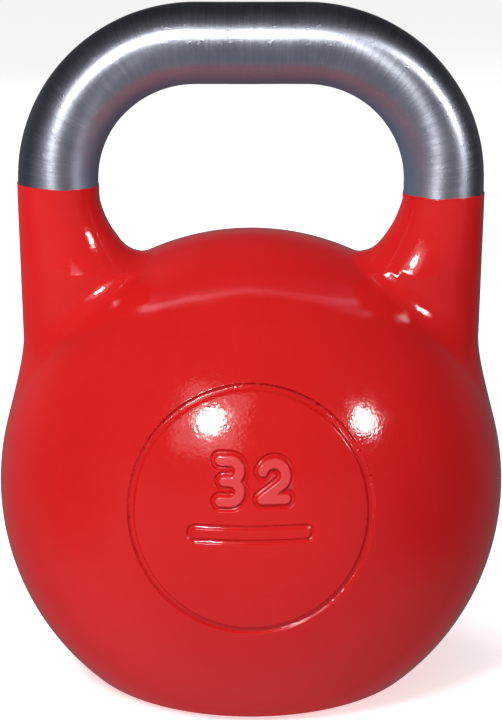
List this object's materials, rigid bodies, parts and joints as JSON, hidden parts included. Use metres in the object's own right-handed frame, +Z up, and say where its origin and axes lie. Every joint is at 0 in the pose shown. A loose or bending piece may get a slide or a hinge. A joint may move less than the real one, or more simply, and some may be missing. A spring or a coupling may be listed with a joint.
{
  "type": "competition kettlebell",
  "caption": "Flat-based painted iron ball with two horns and a bare bent-steel bar handle; a welded base plate and screw plug close its ballasted core.",
  "frame": {"origin": "centre of the flat circle that the bell stands on", "axes": "+Z up, X along the handle, and the side with the figure faces -Y"},
  "size_m": [0.21, 0.21, 0.28],
  "materials": {
    "red_enamel": "glossy baked enamel over cast iron",
    "handle_steel": "bare, brushed and hand-polished",
    "weld_steel": "ground flush",
    "plate_steel": "glossy enamel over the closed base",
    "cup_steel": "turned",
    "plug_steel": "blackened, oiled",
    "washer_fibre": "matt black sealing ring",
    "bonded_shot": "steel shot in resin",
    "felt": "grey wool felt",
    "loose_shot": "bare steel balls"
  },
  "bodies": {
    "root": {"body_shell": "red_enamel", "handle_bar": "handle_steel", "left_handle_weld": "weld_steel", "right_handle_weld": "weld_steel", "base_plate": "plate_steel", "base_plate_weld": "plate_steel", "trim_cup": "cup_steel", "fill_plug": "plug_steel", "plug_washer": "washer_fibre", "shot_ballast": "bonded_shot", "packing_ring": "felt", "trim_shot": "loose_shot", "trim_wad": "felt"}
  },
  "joints": []
}
